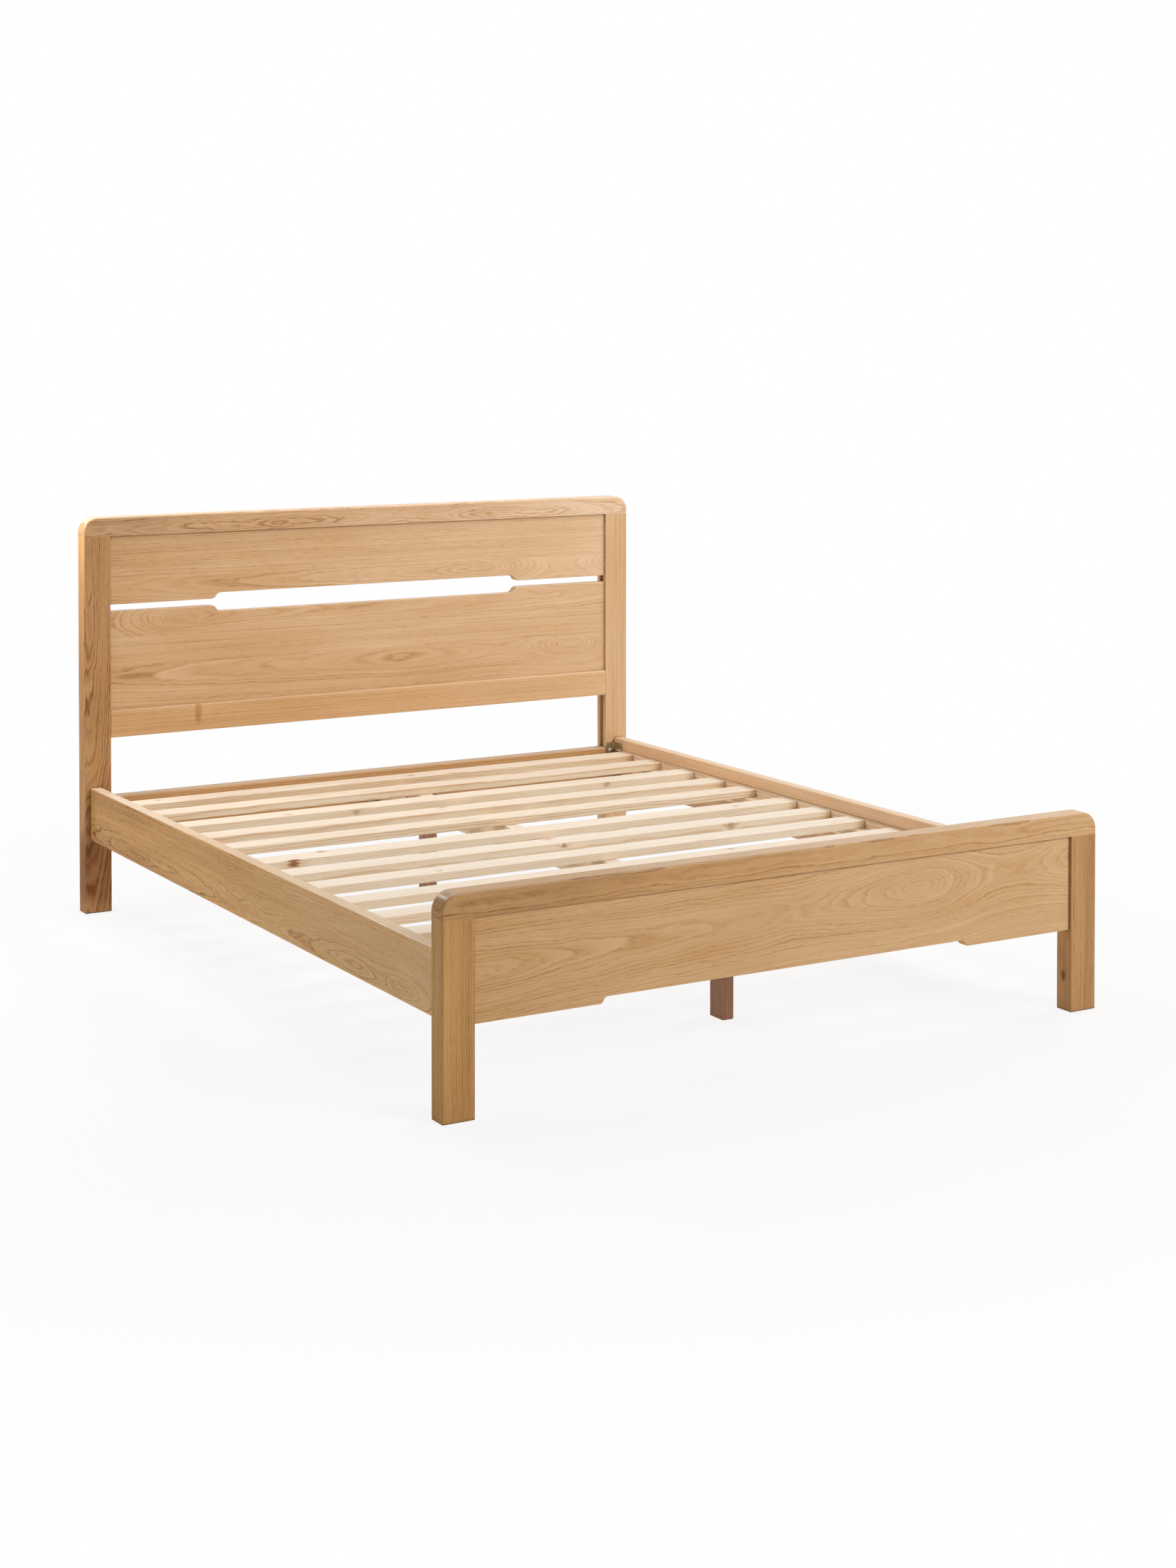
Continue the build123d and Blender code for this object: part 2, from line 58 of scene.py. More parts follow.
def weigh(tree, start, *shares):
    """A start value plus a share of each of several others, given as pairs of (value, share)."""
    total = start
    for value, share in shares:
        total = calc(tree, "MULTIPLY_ADD", value, share, total)
    return total


def spread(tree, value, low, high, start=0.0, end=1.0):
    """A value carried smoothly from one range to another and held at its ends."""
    inputs = {"Value": value, "From Min": low, "From Max": high, "To Min": start, "To Max": end}
    return node(tree, "ShaderNodeMapRange", inputs, interpolation_type="SMOOTHSTEP").outputs["Result"]


def triple(tree, x, y, z):
    """Three values joined into one vector."""
    return node(tree, "ShaderNodeCombineXYZ", {"X": x, "Y": y, "Z": z}).outputs["Vector"]


def cloud(tree, *places, detail=2.0):
    """Soft noise from 0 to 1. Of three places, each is (value, waves per metre) or a number as a seed."""
    parts = [calc(tree, "MULTIPLY", *place) if isinstance(place, tuple) else place for place in places]
    inputs = {"Vector": triple(tree, *parts), "Scale": 1.0, "Detail": detail, "Roughness": 0.55}
    return node(tree, "ShaderNodeTexNoise", inputs).outputs["Fac"]


def chance(tree, value):
    """A fixed random value from 0 to 1 for each whole number."""
    return node(tree, "ShaderNodeTexWhiteNoise", {"W": value}, noise_dimensions="1D").outputs["Value"]


def ramp(tree, value, *stops):
    """A value turned into a colour by stops of (place, colour)."""
    made = node(tree, "ShaderNodeValToRGB", {"Fac": value})
    elements = made.color_ramp.elements
    while len(elements) < len(stops):
        elements.new(0.5)
    for element, (place, colour) in zip(elements, stops):
        element.position = place
        element.color = colour
    return made.outputs["Color"]


def profile(tree, value, *levels):
    """A value turned into another one by stops of (place, level)."""
    return ramp(tree, value, *[(place, (level, level, level, 1.0)) for place, level in levels])


def course(tree, place, points):
    """The depth at a place on a smooth line through points of (place, depth), or one depth throughout."""
    if isinstance(points, float):
        return points
    first, last = points[0][0], points[-1][0]
    inputs = {"Value": place, "From Min": first, "From Max": last}
    share = node(tree, "ShaderNodeMapRange", inputs).outputs["Result"]
    deepest = max(depth for _, depth in points)
    levels = [((along - first) / (last - first), depth / deepest) for along, depth in points]
    drawn = profile(tree, share, *levels)
    drawn.node.color_ramp.interpolation = "CARDINAL"
    return calc(tree, "MULTIPLY", drawn, deepest)


def grain_axes(tree, grain):
    """The object's own coordinates as (along the grain, across it, through the face)."""
    place = node(tree, "ShaderNodeTexCoord").outputs["Object"]
    parts = node(tree, "ShaderNodeSeparateXYZ", {"Vector": place}).outputs
    orders = {"along_x": "XZY", "along_y": "YZX", "along_z": "ZXY", "lying": "XYZ"}
    return [parts[letter] for letter in orders[grain]]


def pick(tree, place, edges, values):
    """The value of the board that a place lies on: edges part the boards from the lowest up."""
    chosen = values[0]
    for edge, before, after in zip(edges, values, values[1:]):
        above = calc(tree, "GREATER_THAN", place, edge)
        chosen = weigh(tree, chosen, (above, calc(tree, "SUBTRACT", after, before)))
    return chosen


def from_pith(tree, side, deep):
    """How far a place is from the pith, which lies so far to the side of it and so deep."""
    return calc(tree, "SQRT", weigh(tree, calc(tree, "MULTIPLY", deep, deep), (side, side)))


def vector_calc(tree, operation, first, second=(0.0, 0.0, 0.0)):
    """One step of arithmetic on vectors, which gives a vector and a length."""
    return node(tree, "ShaderNodeVectorMath", {0: first, 1: second}, operation=operation).outputs


def nearness(tree, axes, middle, halves, blur):
    """1 inside an oval spot and 0 well outside it. Blur, a noise from 0 to 1, makes its edge ragged."""
    ragged, rim, outside = 0.9, 0.8, 1.7
    off = vector_calc(tree, "SUBTRACT", triple(tree, *axes), middle)["Vector"]
    off = vector_calc(tree, "DIVIDE", off, halves)["Vector"]
    off = vector_calc(tree, "LENGTH", off)["Value"]
    return spread(tree, weigh(tree, off, (blur, ragged)), rim, outside, 1.0, 0.0)


def blend(tree, share, colour, other):
    """One colour carried towards another by a share."""
    return node(tree, "ShaderNodeMix", {0: share, 6: colour, 7: other}, data_type="RGBA").outputs[2]


def paint_top_sheen(tree, colour, pale, painted_sheen):
    """The colour of a face, carried towards a paler one where the face looks up: a painted sheen, by the
    given share.
    """
    sloping, level = 0.5, 0.95
    normal = node(tree, "ShaderNodeNewGeometry").outputs["Normal"]
    upward = node(tree, "ShaderNodeSeparateXYZ", {"Vector": normal}).outputs["Z"]
    return blend(tree, spread(tree, upward, sloping, level, 0.0, painted_sheen), colour, pale)


def blank_material(name):
    """A new material with one shader, and its tree and shader for wiring."""
    made = bpy.data.materials.new(name)
    made.use_nodes = True
    return made, made.node_tree, made.node_tree.nodes["Principled BSDF"]


def surface(tree, shader, colour, roughness, height, strength, relief):
    """Wire a colour, a roughness and a height to a shader; the relief is its depth in metres."""
    tree.links.new(colour, shader.inputs["Base Color"])
    tree.links.new(roughness, shader.inputs["Roughness"])
    bump = node(tree, "ShaderNodeBump", {"Strength": strength, "Distance": relief, "Height": height})
    tree.links.new(bump.outputs["Normal"], shader.inputs["Normal"])


def dress(part, material):
    """Give one CAD node its material."""
    mesh = nodes[part].data
    mesh.materials.clear()
    mesh.materials.append(material)


Board = namedtuple("Board", "pith depth ring shade")
Mark = namedtuple("Mark", "middle halves dark")
log_stretch = 3.7
golden = srgb(233, 196, 154), srgb(207, 160, 109), srgb(126, 76, 36)
fair = srgb(235, 200, 163), srgb(209, 165, 118), srgb(130, 82, 42)


def lacquered_oak(part, grain, seed, boards, edges=(), tint=golden, lean=0.0, wander=0.008, wave=0.006,
                  bold=0.24, drift=0.0, joint_shade=0.45, painted_sheen=0.38, marks=()):
    """Oak boards under lacquer, with growth rings round a pith that runs behind the face of each board.

    boards: each with the place of its pith across the grain, the depth of the pith behind the face,
        which may be the points of a course, the width of a ring and how dark the board is
    edges: the places across the grain where one board is glued to the next
    tint: the pale, middle and dark colour of the wood
    lean: how far the pith moves across in a metre along
    wander, wave: how far slow and quick bends carry the rings, in metres
    bold: how dark the ring lines are
    drift: how much darker the wood grows in a metre along
    joint_shade: the share of the colour left where joints and inner corners are darkened by painted shade
    painted_sheen: the share of painted sheen, a paler colour laid on the lacquer where faces look up
    marks: dark spots, with the middle and the half sizes along, across and through
    """
    made, tree, shader = blank_material(part + "_oak")
    axes = grain_axes(tree, grain)
    along, across, through = axes
    low_corner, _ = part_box(part)
    face = low_corner[0 if grain == "along_y" else 1]
    boards = [board._replace(depth=course(tree, along, board.depth)) for board in boards]
    pith, depth, ring, shade = [pick(tree, across, edges, values) for values in zip(*boards)]
    number = pick(tree, across, edges, [float(place) for place in range(len(boards))])
    board_stretch = 5.3
    run = weigh(tree, calc(tree, "ADD", along, seed * log_stretch), (number, board_stretch))
    side = calc(tree, "SUBTRACT", across, weigh(tree, pith, (along, lean)))
    slow = cloud(tree, (run, 2.3), (side, 9.0), seed)
    quick = cloud(tree, (run, 8.0), (side, 34.0), seed + 5.0, detail=3.0)
    deep = calc(tree, "SUBTRACT", calc(tree, "ADD", depth, face), through)
    deep = calc(tree, "ADD", calc(tree, "ABSOLUTE", deep), weigh(tree, -wander, (slow, 2 * wander)))
    reach = weigh(tree, from_pith(tree, side, deep), (quick, wave))

    ring_profile = (0.0, 0.6), (0.1, 1.0), (0.45, 0.25), (0.85, 0.0), (1.0, 0.6)
    faintest, ring_stretch = 0.2, 31.0
    rings = calc(tree, "DIVIDE", reach, ring)
    luck = chance(tree, calc(tree, "ADD", calc(tree, "FLOOR", rings), seed * ring_stretch))
    line = profile(tree, calc(tree, "FRACT", rings), *ring_profile)
    line = calc(tree, "MULTIPLY", line, weigh(tree, faintest, (luck, 1 - faintest)))
    speck = cloud(tree, (run, 44.0), (across, 760.0), (through, 760.0))
    pores = calc(tree, "MULTIPLY", spread(tree, speck, 0.52, 0.72), weigh(tree, 0.4, (line, 0.6)))
    line = calc(tree, "MULTIPLY", line, spread(tree, speck, 0.3, 0.65, 0.45, 1.0))
    streak = cloud(tree, (run, 2.2), (reach, 210.0), seed + 2.0, detail=3.0)
    patch = cloud(tree, (run, 1.9), (side, 12.0), seed + 9.0)
    palest = -0.29
    tone = weigh(tree, shade, (along, drift), (line, bold), (pores, 0.22), (streak, 0.42), (patch, 0.36))
    tone = calc(tree, "ADD", tone, palest)
    for middle, halves, dark in marks:
        tone = weigh(tree, tone, (nearness(tree, axes, middle, halves, pores), dark))

    tint_places = (0.0, 0.4, 1.0)
    painted_lacquer_sheen = srgb(226, 208, 186)
    shade_reach = 0.008
    # Painted sheen: faces that look up are carried towards a paler colour, as if they caught the light.
    colour = paint_top_sheen(tree, ramp(tree, tone, *zip(tint_places, tint)), painted_lacquer_sheen, painted_sheen)
    # Painted shade: joints and inner corners are darkened, as if shade fell there.
    painted_joint_shade = node(tree, "ShaderNodeAmbientOcclusion", {"Distance": shade_reach}, samples=8).outputs["AO"]
    painted_joint_shade = spread(tree, painted_joint_shade, 0.4, 0.9, joint_shade, 1.0)
    shaded = node(tree, "ShaderNodeVectorMath", {0: colour, "Scale": painted_joint_shade}, operation="SCALE").outputs[0]
    roughness = spread(tree, tone, 0.0, 1.0, 0.40, 0.54)
    height = weigh(tree, 0.0, (line, -0.3), (pores, -1.0))
    surface(tree, shader, shaded, roughness, height, strength=0.25, relief=0.0003)
    shader.inputs["Specular IOR Level"].default_value = 0.0
    shader.inputs["Coat Weight"].default_value = 0.28
    shader.inputs["Coat Roughness"].default_value = 0.14
    dress(part, made)


left_post_arches = [(0.0, 0.085), (0.30, 0.060), (0.41, 0.040), (0.66, 0.022), (0.73, 0.014),
                    (1.05, 0.003)]
left_post = Board(pith=-0.836, depth=left_post_arches, ring=0.0055, shade=0.42)
# Painted shadow: the foot of the left post, below the side rail, is darkened.
painted_rail_shadow = Mark(middle=(0.12, -0.813, 1.04), halves=(0.08, 0.09, 0.09), dark=0.25)
lacquered_oak("headboard_left_post", "along_z", seed=1.0, boards=[left_post],
              wave=0.012, bold=0.56, marks=[painted_rail_shadow])
right_post = Board(pith=0.960, depth=0.040, ring=0.005, shade=0.10)
lacquered_oak("headboard_right_post", "along_z", seed=2.0, boards=[right_post], tint=fair)

# Headboard bottom rail and cross rail: oak planks laid across between the posts on stub tenons.
# The bottom rail has a short dark mark and is grooved along its top for the lower panel.
# The cross rail stands behind the first slat.
bottom_rail = Board(pith=0.640, depth=0.040, ring=0.006, shade=0.12)
bottom_mark = Mark(middle=(-0.526, 0.522, 1.02), halves=(0.008, 0.026, 0.05), dark=0.26)
lacquered_oak("headboard_bottom_rail", "along_x", seed=3.0, boards=[bottom_rail],
              drift=-0.12, joint_shade=0.9, marks=[bottom_mark])
cross_rail = Board(pith=0.360, depth=0.040, ring=0.006, shade=0.31)
lacquered_oak("headboard_cross_rail", "along_x", seed=4.0, boards=[cross_rail])

# Headboard panels: two panels of oak boards glued edge to edge, held by tongues in the posts and rails.
# One board of the upper panel and two of the lower are flat-sawn and show eyes and long arches.
# The edges that face each other are shaped, so that a long hand slot is left between the panels.
upper_edges = [0.892]
upper_eye = [(-0.79, 0.048), (-0.52, 0.036), (-0.10, 0.026), (0.20, 0.018), (0.365, 0.004), (0.46, 0.026),
             (0.567, 0.053), (0.65, 0.058), (0.728, 0.048), (0.79, 0.034)]
upper_boards = [Board(pith=0.870, depth=upper_eye, ring=0.0055, shade=0.09),
                Board(pith=1.080, depth=0.060, ring=0.005, shade=0.06)]
lacquered_oak("headboard_upper_panel", "along_x", seed=17.0, boards=upper_boards, edges=upper_edges,
              tint=fair, wander=0.005, wave=0.009, bold=0.34, drift=-0.20)
lower_edges = [0.658, 0.738]
low_eyes = [(-0.79, 0.060), (-0.20, 0.042), (-0.05, 0.036), (0.12, 0.029), (0.283, 0.036), (0.44, 0.042),
            (0.56, 0.028), (0.66, 0.004), (0.72, 0.020), (0.79, 0.040)]
high_eye = [(-0.79, 0.064), (-0.735, 0.051), (-0.65, 0.022), (-0.596, 0.004), (-0.45, 0.016),
            (-0.20, 0.026), (0.20, 0.036), (0.79, 0.050)]
lower_boards = [Board(pith=0.630, depth=low_eyes, ring=0.0055, shade=0.13),
                Board(pith=0.590, depth=0.060, ring=0.005, shade=0.09),
                Board(pith=0.783, depth=high_eye, ring=0.0055, shade=0.11)]
lower_mark = Mark(middle=(-0.704, 0.631, 1.03), halves=(0.05, 0.006, 0.05), dark=0.22)
lacquered_oak("headboard_lower_panel", "along_x", seed=11.0, boards=lower_boards, edges=lower_edges,
              tint=fair, wander=0.005, wave=0.009, bold=0.34, drift=-0.07, joint_shade=0.75, marks=[lower_mark])

# Headboard top rail: one oak plank over both posts, with rounded outer corners and softened edges.
# It is cut close to the face of the log, so that its dark lines wander; dowels join it to the posts.
rosy = srgb(236, 204, 172), srgb(211, 169, 127), srgb(134, 88, 48)
head_rail_depth = [(-0.86, 0.030), (-0.30, 0.012), (0.10, 0.026), (0.45, 0.010), (0.86, 0.034)]
head_rail = Board(pith=1.030, depth=head_rail_depth, ring=0.0042, shade=0.14)
lacquered_oak("headboard_top_rail", "along_x", seed=6.0, boards=[head_rail], tint=rosy,
              wander=0.014, wave=0.016, bold=0.52, drift=-0.32)

# Footboard legs: short oak posts of the same section as those of the headboard, with upright grain.
# Both are nearly straight-grained, and grooved on the inner side for the footboard panel.
# The right one has a small knot low on the side that faces in.
honey = srgb(233, 195, 145), srgb(207, 159, 100), srgb(126, 75, 32)
left_leg = Board(pith=-0.900, depth=0.055, ring=0.005, shade=0.36)
lacquered_oak("footboard_left_leg", "along_z", seed=7.0, boards=[left_leg], tint=honey)
right_leg = Board(pith=0.730, depth=0.065, ring=0.005, shade=0.39)
leg_knot = Mark(middle=(0.081, 0.776, -1.040), halves=(0.010, 0.012, 0.006), dark=0.40)
lacquered_oak("footboard_right_leg", "along_z", seed=8.0, boards=[right_leg], marks=[leg_knot])

# Footboard panel: one wide flat-sawn oak face let into the legs and the top rail on tongues.
# It has an eye right of the middle and long arches to the left.
# The lower edge steps up between the legs.
foot_eye = [(-0.79, 0.010), (-0.592, 0.032), (-0.30, 0.043), (-0.069, 0.050), (0.02, 0.052),
            (0.19, 0.036), (0.28, 0.017), (0.350, 0.004), (0.43, 0.030), (0.516, 0.056), (0.62, 0.066),
            (0.716, 0.056), (0.79, 0.040)]
foot_panel = Board(pith=0.325, depth=foot_eye, ring=0.006, shade=0.12)
lacquered_oak("footboard_panel", "along_x", seed=9.0, boards=[foot_panel], lean=0.04,
              wander=0.006, wave=0.015, bold=0.27, drift=-0.10)

# Footboard top rail: one oak plank over both legs, with rounded outer corners like that of the headboard.
# Its front shows broad wavy rings; dowels join it to the legs.
foot_rail = Board(pith=0.440, depth=0.022, ring=0.006, shade=0.25)
lacquered_oak("footboard_top_rail", "along_x", seed=10.0, boards=[foot_rail],
              wander=0.018, wave=0.014, bold=0.48, drift=-0.20)

# Side rails: oak planks on edge, butted between the headboard posts and the footboard legs.
# Dowels place them and steel brackets inside the corners pull them tight.
# The left one shows eyes low on its outer face; the right one is the paler plank.
left_rail_eyes = [(-1.02, 0.036), (-0.93, 0.022), (-0.856, 0.003), (-0.77, 0.022), (-0.63, 0.008),
                  (-0.44, 0.026), (-0.10, 0.040), (0.20, 0.030), (0.50, 0.018), (0.75, 0.010),
                  (1.02, 0.034)]
left_rail = Board(pith=0.224, depth=left_rail_eyes, ring=0.0045, shade=0.20)
lacquered_oak("left_side_rail", "along_y", seed=13.0, boards=[left_rail], tint=honey,
              wander=0.010, wave=0.018, bold=0.48, drift=0.22, painted_sheen=0.7)
right_rail = Board(pith=0.380, depth=0.040, ring=0.005, shade=-0.05)
lacquered_oak("right_side_rail", "along_y", seed=14.0, boards=[right_rail], tint=fair)


# Slat ledges: planed pine bearers with a lip, screwed along the inside of the side rails.
# The slats lie on the bearer and end against the lip.
def planed_pine(part, grain, seed, pith, depth, shade, knots=(), painted_sheen=0.40):
    """Bare pine with growth rings round a pith that runs straight along.

    pith, depth: the place of the pith across the grain and through the face
    shade: how dark the wood is
    knots: each with its place along, across and through, its radius and its strength
    painted_sheen: the share of painted sheen, a paler colour laid on faces that look up
    """
    made, tree, shader = blank_material(part + "_pine")
    axes = grain_axes(tree, grain)
    along, across, through = axes
    run = calc(tree, "ADD", along, seed * log_stretch)
    side = calc(tree, "SUBTRACT", across, pith)
    slow = cloud(tree, (run, 1.6), (side, 5.0), seed)
    quick = cloud(tree, (run, 7.0), (side, 40.0), seed + 3.0, detail=3.0)
    wander, wave, ring = 0.020, 0.004, 0.0052
    deep = calc(tree, "SUBTRACT", through, depth)
    deep = calc(tree, "ADD", deep, weigh(tree, -wander, (slow, 2 * wander)))
    reach = weigh(tree, from_pith(tree, side, deep), (quick, wave))
    rings = calc(tree, "DIVIDE", reach, ring)
    fibre = spread(tree, cloud(tree, (run, 16.0), (across, 700.0), (through, 700.0)), 0.35, 0.65)

    heart_halves, ripple_halves, ring_bend = (1.3, 1.0, 1.0), (3.5, 1.8, 1.8), 0.6
    knot, halo = 0.0, 0.0
    for *middle, radius, strength in knots:
        ripple = nearness(tree, axes, middle, [radius * half for half in ripple_halves], quick)
        heart = nearness(tree, axes, middle, [radius * half for half in heart_halves], fibre)
        rings = weigh(tree, rings, (ripple, ring_bend))
        heart = spread(tree, heart, 0.1, 0.8)
        knot = calc(tree, "MAXIMUM", knot, calc(tree, "MULTIPLY", heart, strength))
        halo = calc(tree, "MAXIMUM", halo, calc(tree, "MULTIPLY", ripple, strength))

    line = profile(tree, calc(tree, "FRACT", rings), (0.0, 0.1), (0.5, 0.25), (0.86, 1.0), (1.0, 0.1))
    streak = cloud(tree, (run, 3.0), (reach, 300.0), seed + 1.0)
    patch = cloud(tree, (run, 2.4), (side, 18.0), seed + 7.0)
    palest = -0.61
    tone = weigh(tree, shade, (line, 0.50), (streak, 0.56), (fibre, 0.16), (patch, 0.50), (halo, 0.30))
    tone = calc(tree, "ADD", tone, palest)
    pine = (0.0, srgb(246, 232, 212)), (0.45, srgb(236, 214, 183)), (1.0, srgb(206, 160, 112))
    knot_wood = (0.3, srgb(138, 82, 54)), (0.7, srgb(184, 126, 86))
    painted_pine_sheen = srgb(233, 226, 218)
    # Painted sheen: faces that look up are carried towards a paler colour.
    colour = paint_top_sheen(tree, ramp(tree, tone, *pine), painted_pine_sheen, painted_sheen)
    colour = blend(tree, knot, colour, ramp(tree, streak, *knot_wood))
    roughness = spread(tree, streak, 0.2, 0.8, 0.55, 0.68)
    height = weigh(tree, 0.0, (line, 0.4), (streak, 0.6))
    surface(tree, shader, colour, roughness, height, strength=0.2, relief=0.0004)
    shader.inputs["Specular IOR Level"].default_value = 0.2
    dress(part, made)


planed_pine("left_slat_ledge", "along_y", seed=1.0, pith=0.32, depth=-0.72, shade=0.40, painted_sheen=0.0)
planed_pine("right_slat_ledge", "along_y", seed=2.0, pith=0.33, depth=0.86, shade=0.40, painted_sheen=0.0)

# Slats: twelve planed pine boards laid across the ledges and the centre beam, screwed from below.
# Each comes from another board, so its pith and its shade differ, mostly paler towards the foot.
# Some carry knots, on the top or in the front edge; the slats are counted from the headboard.
slat_shades = [0.44, 0.34, 0.20, 0.24, 0.26, 0.12, 0.10, 0.08, 0.16, 0.14, 0.12, 0.18]
slat_piths = [-0.03, 0.02, -0.04, 0.05, 0.00, -0.06, 0.04, -0.02, 0.06, 0.01, -0.05, 0.03]
slat_sinks = [0.04, 0.03, 0.05, 0.02, 0.04, 0.06, 0.03, 0.05, 0.02, 0.06, 0.03, 0.05]
# On the top, a knot has a place along and across, a radius and a strength.
top_knots = {
    1: [(0.075, 0.923, 0.007, 0.7), (-0.677, 0.934, 0.004, 0.9)],
    3: [(-0.456, 0.575, 0.009, 0.4)],
    4: [(-0.064, 0.457, 0.010, 0.4)],
    6: [(-0.574, 0.108, 0.009, 0.7), (0.618, 0.078, 0.009, 0.4)],
    7: [(-0.026, -0.045, 0.009, 0.4)],
    8: [(-0.424, -0.227, 0.007, 0.6)],
    9: [(0.300, -0.369, 0.009, 0.5)],
}
# In the front edge, it has a place along and a height, a radius and a strength.
edge_knots = {
    3: [(-0.267, 0.296, 0.007, 0.5), (0.504, 0.298, 0.007, 0.5)],
    6: [(-0.670, 0.296, 0.012, 1.0)],
    7: [(-0.013, 0.298, 0.006, 0.6), (0.481, 0.296, 0.010, 0.5)],
}
first_slat_seed = 21.0
for index, (slat_shade, slat_pith, slat_sink) in enumerate(zip(slat_shades, slat_piths, slat_sinks)):
    number = index + 1
    slat = f"slat_{number:02d}"
    (_, slat_front, _), (_, slat_back, slat_top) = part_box(slat)
    knots = [(x, y, slat_top, *look) for x, y, *look in top_knots.get(number, [])]
    knots += [(x, slat_front, z, *look) for x, z, *look in edge_knots.get(number, [])]
    slat_middle = (slat_front + slat_back) / 2
    planed_pine(slat, "lying", seed=first_slat_seed + index, pith=slat_middle + slat_pith,
                depth=slat_top - slat_sink, shade=slat_shade, knots=knots)

# Centre beam: a pine batten on edge under the middle of the slats, from the cross rail to the footboard.
# Its ends sit in steel hangers, and two short legs carry it between them.
planed_pine("centre_beam", "along_y", seed=3.0, pith=0.20, depth=-0.01, shade=0.34)


# Centre legs: short posts of red-brown stained wood that stand on the floor.
# Each is bolted through to the side of the beam.
def straight_grained(name, pale, middle, dark):
    """Straight-grained wood of three shades, with the grain upright."""
    made, tree, shader = blank_material(name)
    along, across, through = grain_axes(tree, "along_z")
    streak = cloud(tree, (along, 5.0), (across, 260.0), (through, 260.0), detail=3.0)
    band = cloud(tree, (along, 1.5), (across, 45.0), (through, 45.0))
    tone = weigh(tree, 0.0, (streak, 0.5), (band, 0.6))
    colour = ramp(tree, tone, (0.3, pale), (0.55, middle), (0.8, dark))
    roughness = spread(tree, streak, 0.2, 0.8, 0.42, 0.58)
    surface(tree, shader, colour, roughness, streak, strength=0.2, relief=0.0004)
    return made


leg_tints = srgb(192, 152, 126), srgb(166, 122, 96), srgb(126, 86, 64)
leg_stain = straight_grained("leg_stain", *leg_tints)
for name in ("front_centre_leg", "back_centre_leg"):
    dress(name, leg_stain)


# Corner brackets and beam hangers: pressed steel angles and stirrups with a yellowish zinc plating.
# The brackets join the side rails to the posts and legs; the hangers carry the ends of the beam.
def zinc_plate(name, bright, dull, smooth):
    """Plated steel with a cloudy film; smooth is its roughness where it is brightest."""
    made, tree, shader = blank_material(name)
    place = node(tree, "ShaderNodeTexCoord").outputs["Object"]
    inputs = {"Vector": place, "Scale": 60.0, "Detail": 5.0}
    cloudy = node(tree, "ShaderNodeTexNoise", inputs).outputs["Fac"]
    rough = smooth + 0.16
    tree.links.new(ramp(tree, cloudy, (0.35, bright), (0.65, dull)), shader.inputs["Base Color"])
    tree.links.new(spread(tree, cloudy, 0.3, 0.7, smooth, rough), shader.inputs["Roughness"])
    shader.inputs["Metallic"].default_value = 1.0
    return made


bracket_zinc = zinc_plate("bracket_zinc", srgb(204, 190, 158), srgb(172, 155, 123), smooth=0.24)
for name in ("head_left_bracket", "head_right_bracket", "foot_left_bracket", "foot_right_bracket",
             "head_beam_hanger", "foot_beam_hanger"):
    dress(name, bracket_zinc)

# Bolts, nuts, washers and screws: rolled and headed steel with a bright zinc plating.
# Bolts hold the brackets and the centre legs; screws hold the slats, the ledges and the hangers.
bolt_zinc = zinc_plate("bolt_zinc", srgb(222, 217, 206), srgb(184, 178, 168), smooth=0.2)
for name in ("bracket_bolts", "bracket_washers", "centre_leg_bolts", "centre_leg_washers",
             "centre_leg_nuts", "slat_screws", "ledge_screws", "hanger_screws"):
    dress(name, bolt_zinc)

# Dowels: turned beech pegs in blind holes that place the rails against the posts and legs.
# They are hidden once the frame is together.
dowel_tints = srgb(226, 190, 150), srgb(212, 172, 130), srgb(190, 148, 106)
dowel_beech = straight_grained("dowel_beech", *dowel_tints)
for name in ("headboard_dowels", "footboard_dowels", "side_rail_dowels"):
    dress(name, dowel_beech)


# Floor and room: a plain white studio floor that keeps a pale shadow under the frame.
# Further out it runs into the even white of the surround without a line.
# The room is a little brighter on the right.
def ray_kind(tree, kind):
    """1 for rays of one kind, otherwise 0."""
    return node(tree, "ShaderNodeLightPath").outputs[kind]


floor_half = 30.0
floor_grey = 0.88
shadow_reach, white_reach = 1.2, 3.2
shadow_glow, white_glow = 0.84, 1.0
floor_mesh = bpy.data.meshes.new("floor")
corners = [(-floor_half, -floor_half, 0), (floor_half, -floor_half, 0), (floor_half, floor_half, 0),
           (-floor_half, floor_half, 0)]
floor_mesh.from_pydata(corners, [], [(0, 1, 2, 3)])
floor = bpy.data.objects.new("floor", floor_mesh)
bpy.context.scene.collection.objects.link(floor)
floor_white, tree, shader = blank_material("floor_white")
shader.inputs["Base Color"].default_value = (floor_grey, floor_grey, floor_grey, 1.0)
shader.inputs["Roughness"].default_value = 0.9
shader.inputs["Specular IOR Level"].default_value = 0.0
glow = node(tree, "ShaderNodeEmission", {"Strength": 1.0}).outputs["Emission"]
place = node(tree, "ShaderNodeTexCoord").outputs["Object"]
distance = vector_calc(tree, "LENGTH", place)["Value"]
share = spread(tree, distance, shadow_reach, white_reach, shadow_glow, white_glow)
share = calc(tree, "MULTIPLY", ray_kind(tree, "Is Camera Ray"), share)
mixed = node(tree, "ShaderNodeMixShader", {0: share, 1: shader.outputs["BSDF"], 2: glow})
tree.links.new(mixed.outputs["Shader"], tree.nodes["Material Output"].inputs["Surface"])
floor_mesh.materials.append(floor_white)

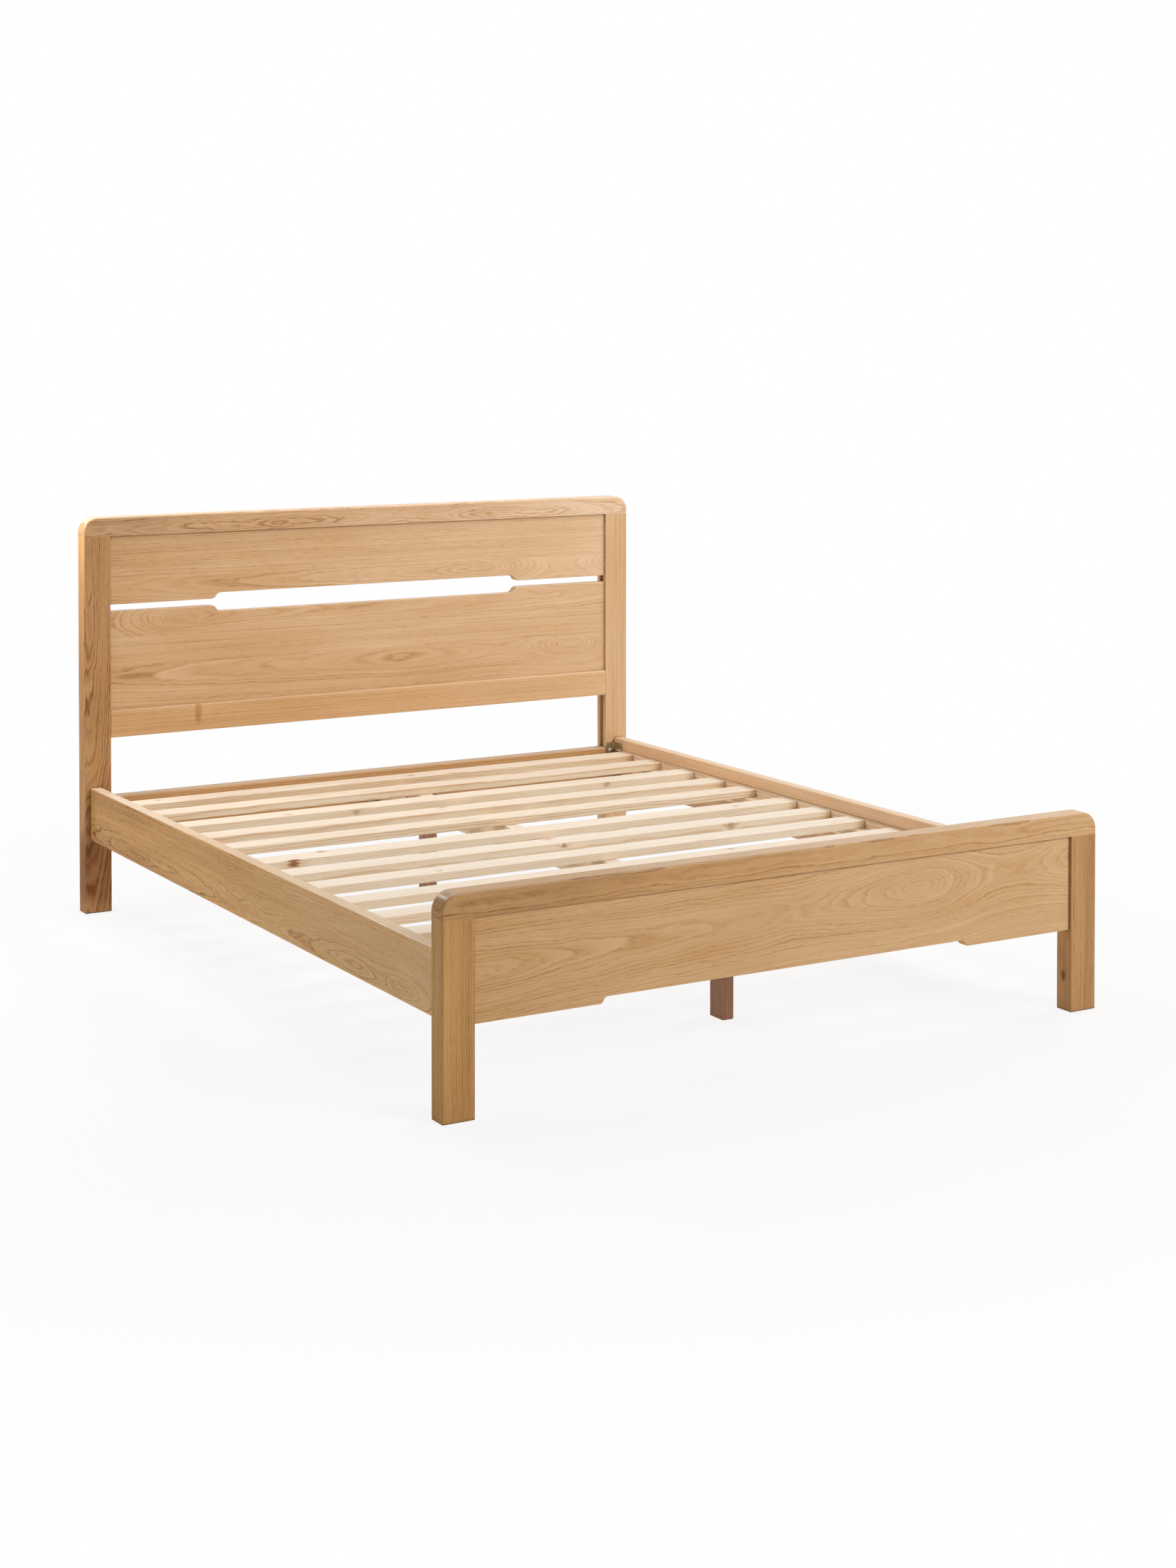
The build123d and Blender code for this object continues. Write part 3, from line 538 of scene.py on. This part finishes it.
left_level, right_level = 0.22, 0.42
world = bpy.data.worlds.new("white_room")
bpy.context.scene.world = world
world.use_nodes = True
tree = world.node_tree
direction = node(tree, "ShaderNodeTexCoord").outputs["Generated"]
toward = node(tree, "ShaderNodeSeparateXYZ", {"Vector": direction}).outputs
ambient = spread(tree, toward["X"], -0.8, 0.8, left_level, right_level)
seen = calc(tree, "MAXIMUM", ray_kind(tree, "Is Camera Ray"), ray_kind(tree, "Is Glossy Ray"))
strength = calc(tree, "MAXIMUM", seen, ambient)
tree.links.new(strength, tree.nodes["Background"].inputs["Strength"])
tree.nodes["Background"].inputs["Color"].default_value = (1.0, 1.0, 1.0, 1.0)


# Lamps: a broad soft box in front is the main one, with a weaker one high on the right.
# A low one on the left lights the left rail, and one over the bed the inner face of the right rail.
# One far behind puts the shine on the rounded corners, and a small one lights the left head post's side.
def soft_lamp(name, place, aim, size, watts):
    """One square area lamp turned towards a point."""
    lamp = bpy.data.lights.new(name, "AREA")
    lamp.shape = "SQUARE"
    lamp.size = size
    lamp.energy = watts
    held = bpy.data.objects.new(name, lamp)
    held.location = place
    held.visible_camera = False
    held.rotation_euler = (Vector(aim) - Vector(place)).to_track_quat("-Z", "Y").to_euler()
    bpy.context.scene.collection.objects.link(held)


soft_lamp("right_lamp", (2.5, -0.3, 2.9), aim=(0.0, 0.5, 0.5), size=1.2, watts=34)
soft_lamp("left_lamp", (-3.0, 0.8, 1.2), aim=(-0.86, 0.0, 0.4), size=1.0, watts=12.5)
soft_lamp("top_lamp", (-0.5, 0.85, 2.7), aim=(0.83, 0.0, 0.25), size=1.0, watts=24)
soft_lamp("back_lamp", (-1.6, 5.0, 3.3), aim=(-0.2, -0.6, 0.3), size=1.2, watts=50)
soft_lamp("side_lamp", (-1.25, 1.15, 1.35), aim=(-0.85, 1.05, 0.95), size=0.2, watts=5.5)
soft_lamp("front_lamp", (3.3, -7.6, 4.4), aim=(0.2, 0.0, 0.5), size=2.8, watts=310)

# Camera: at standing height off the left corner of the foot, looking almost level across the bed.
# The lens is shifted, so that the upright edges stay nearly parallel.
downward, turn_right = 1.438, 30.525
camera_data = bpy.data.cameras.new("camera")
camera_data.sensor_width = 36.0
camera_data.lens = 58.645
camera_data.shift_y = -0.2564
camera = bpy.data.objects.new("camera", camera_data)
camera.location = (-3.1504, -5.5370, 1.5996)
camera.rotation_euler = (radians(90 - downward), 0, radians(-turn_right))
bpy.context.scene.collection.objects.link(camera)
bpy.context.scene.camera = camera
bpy.context.scene.view_settings.view_transform = "Standard"
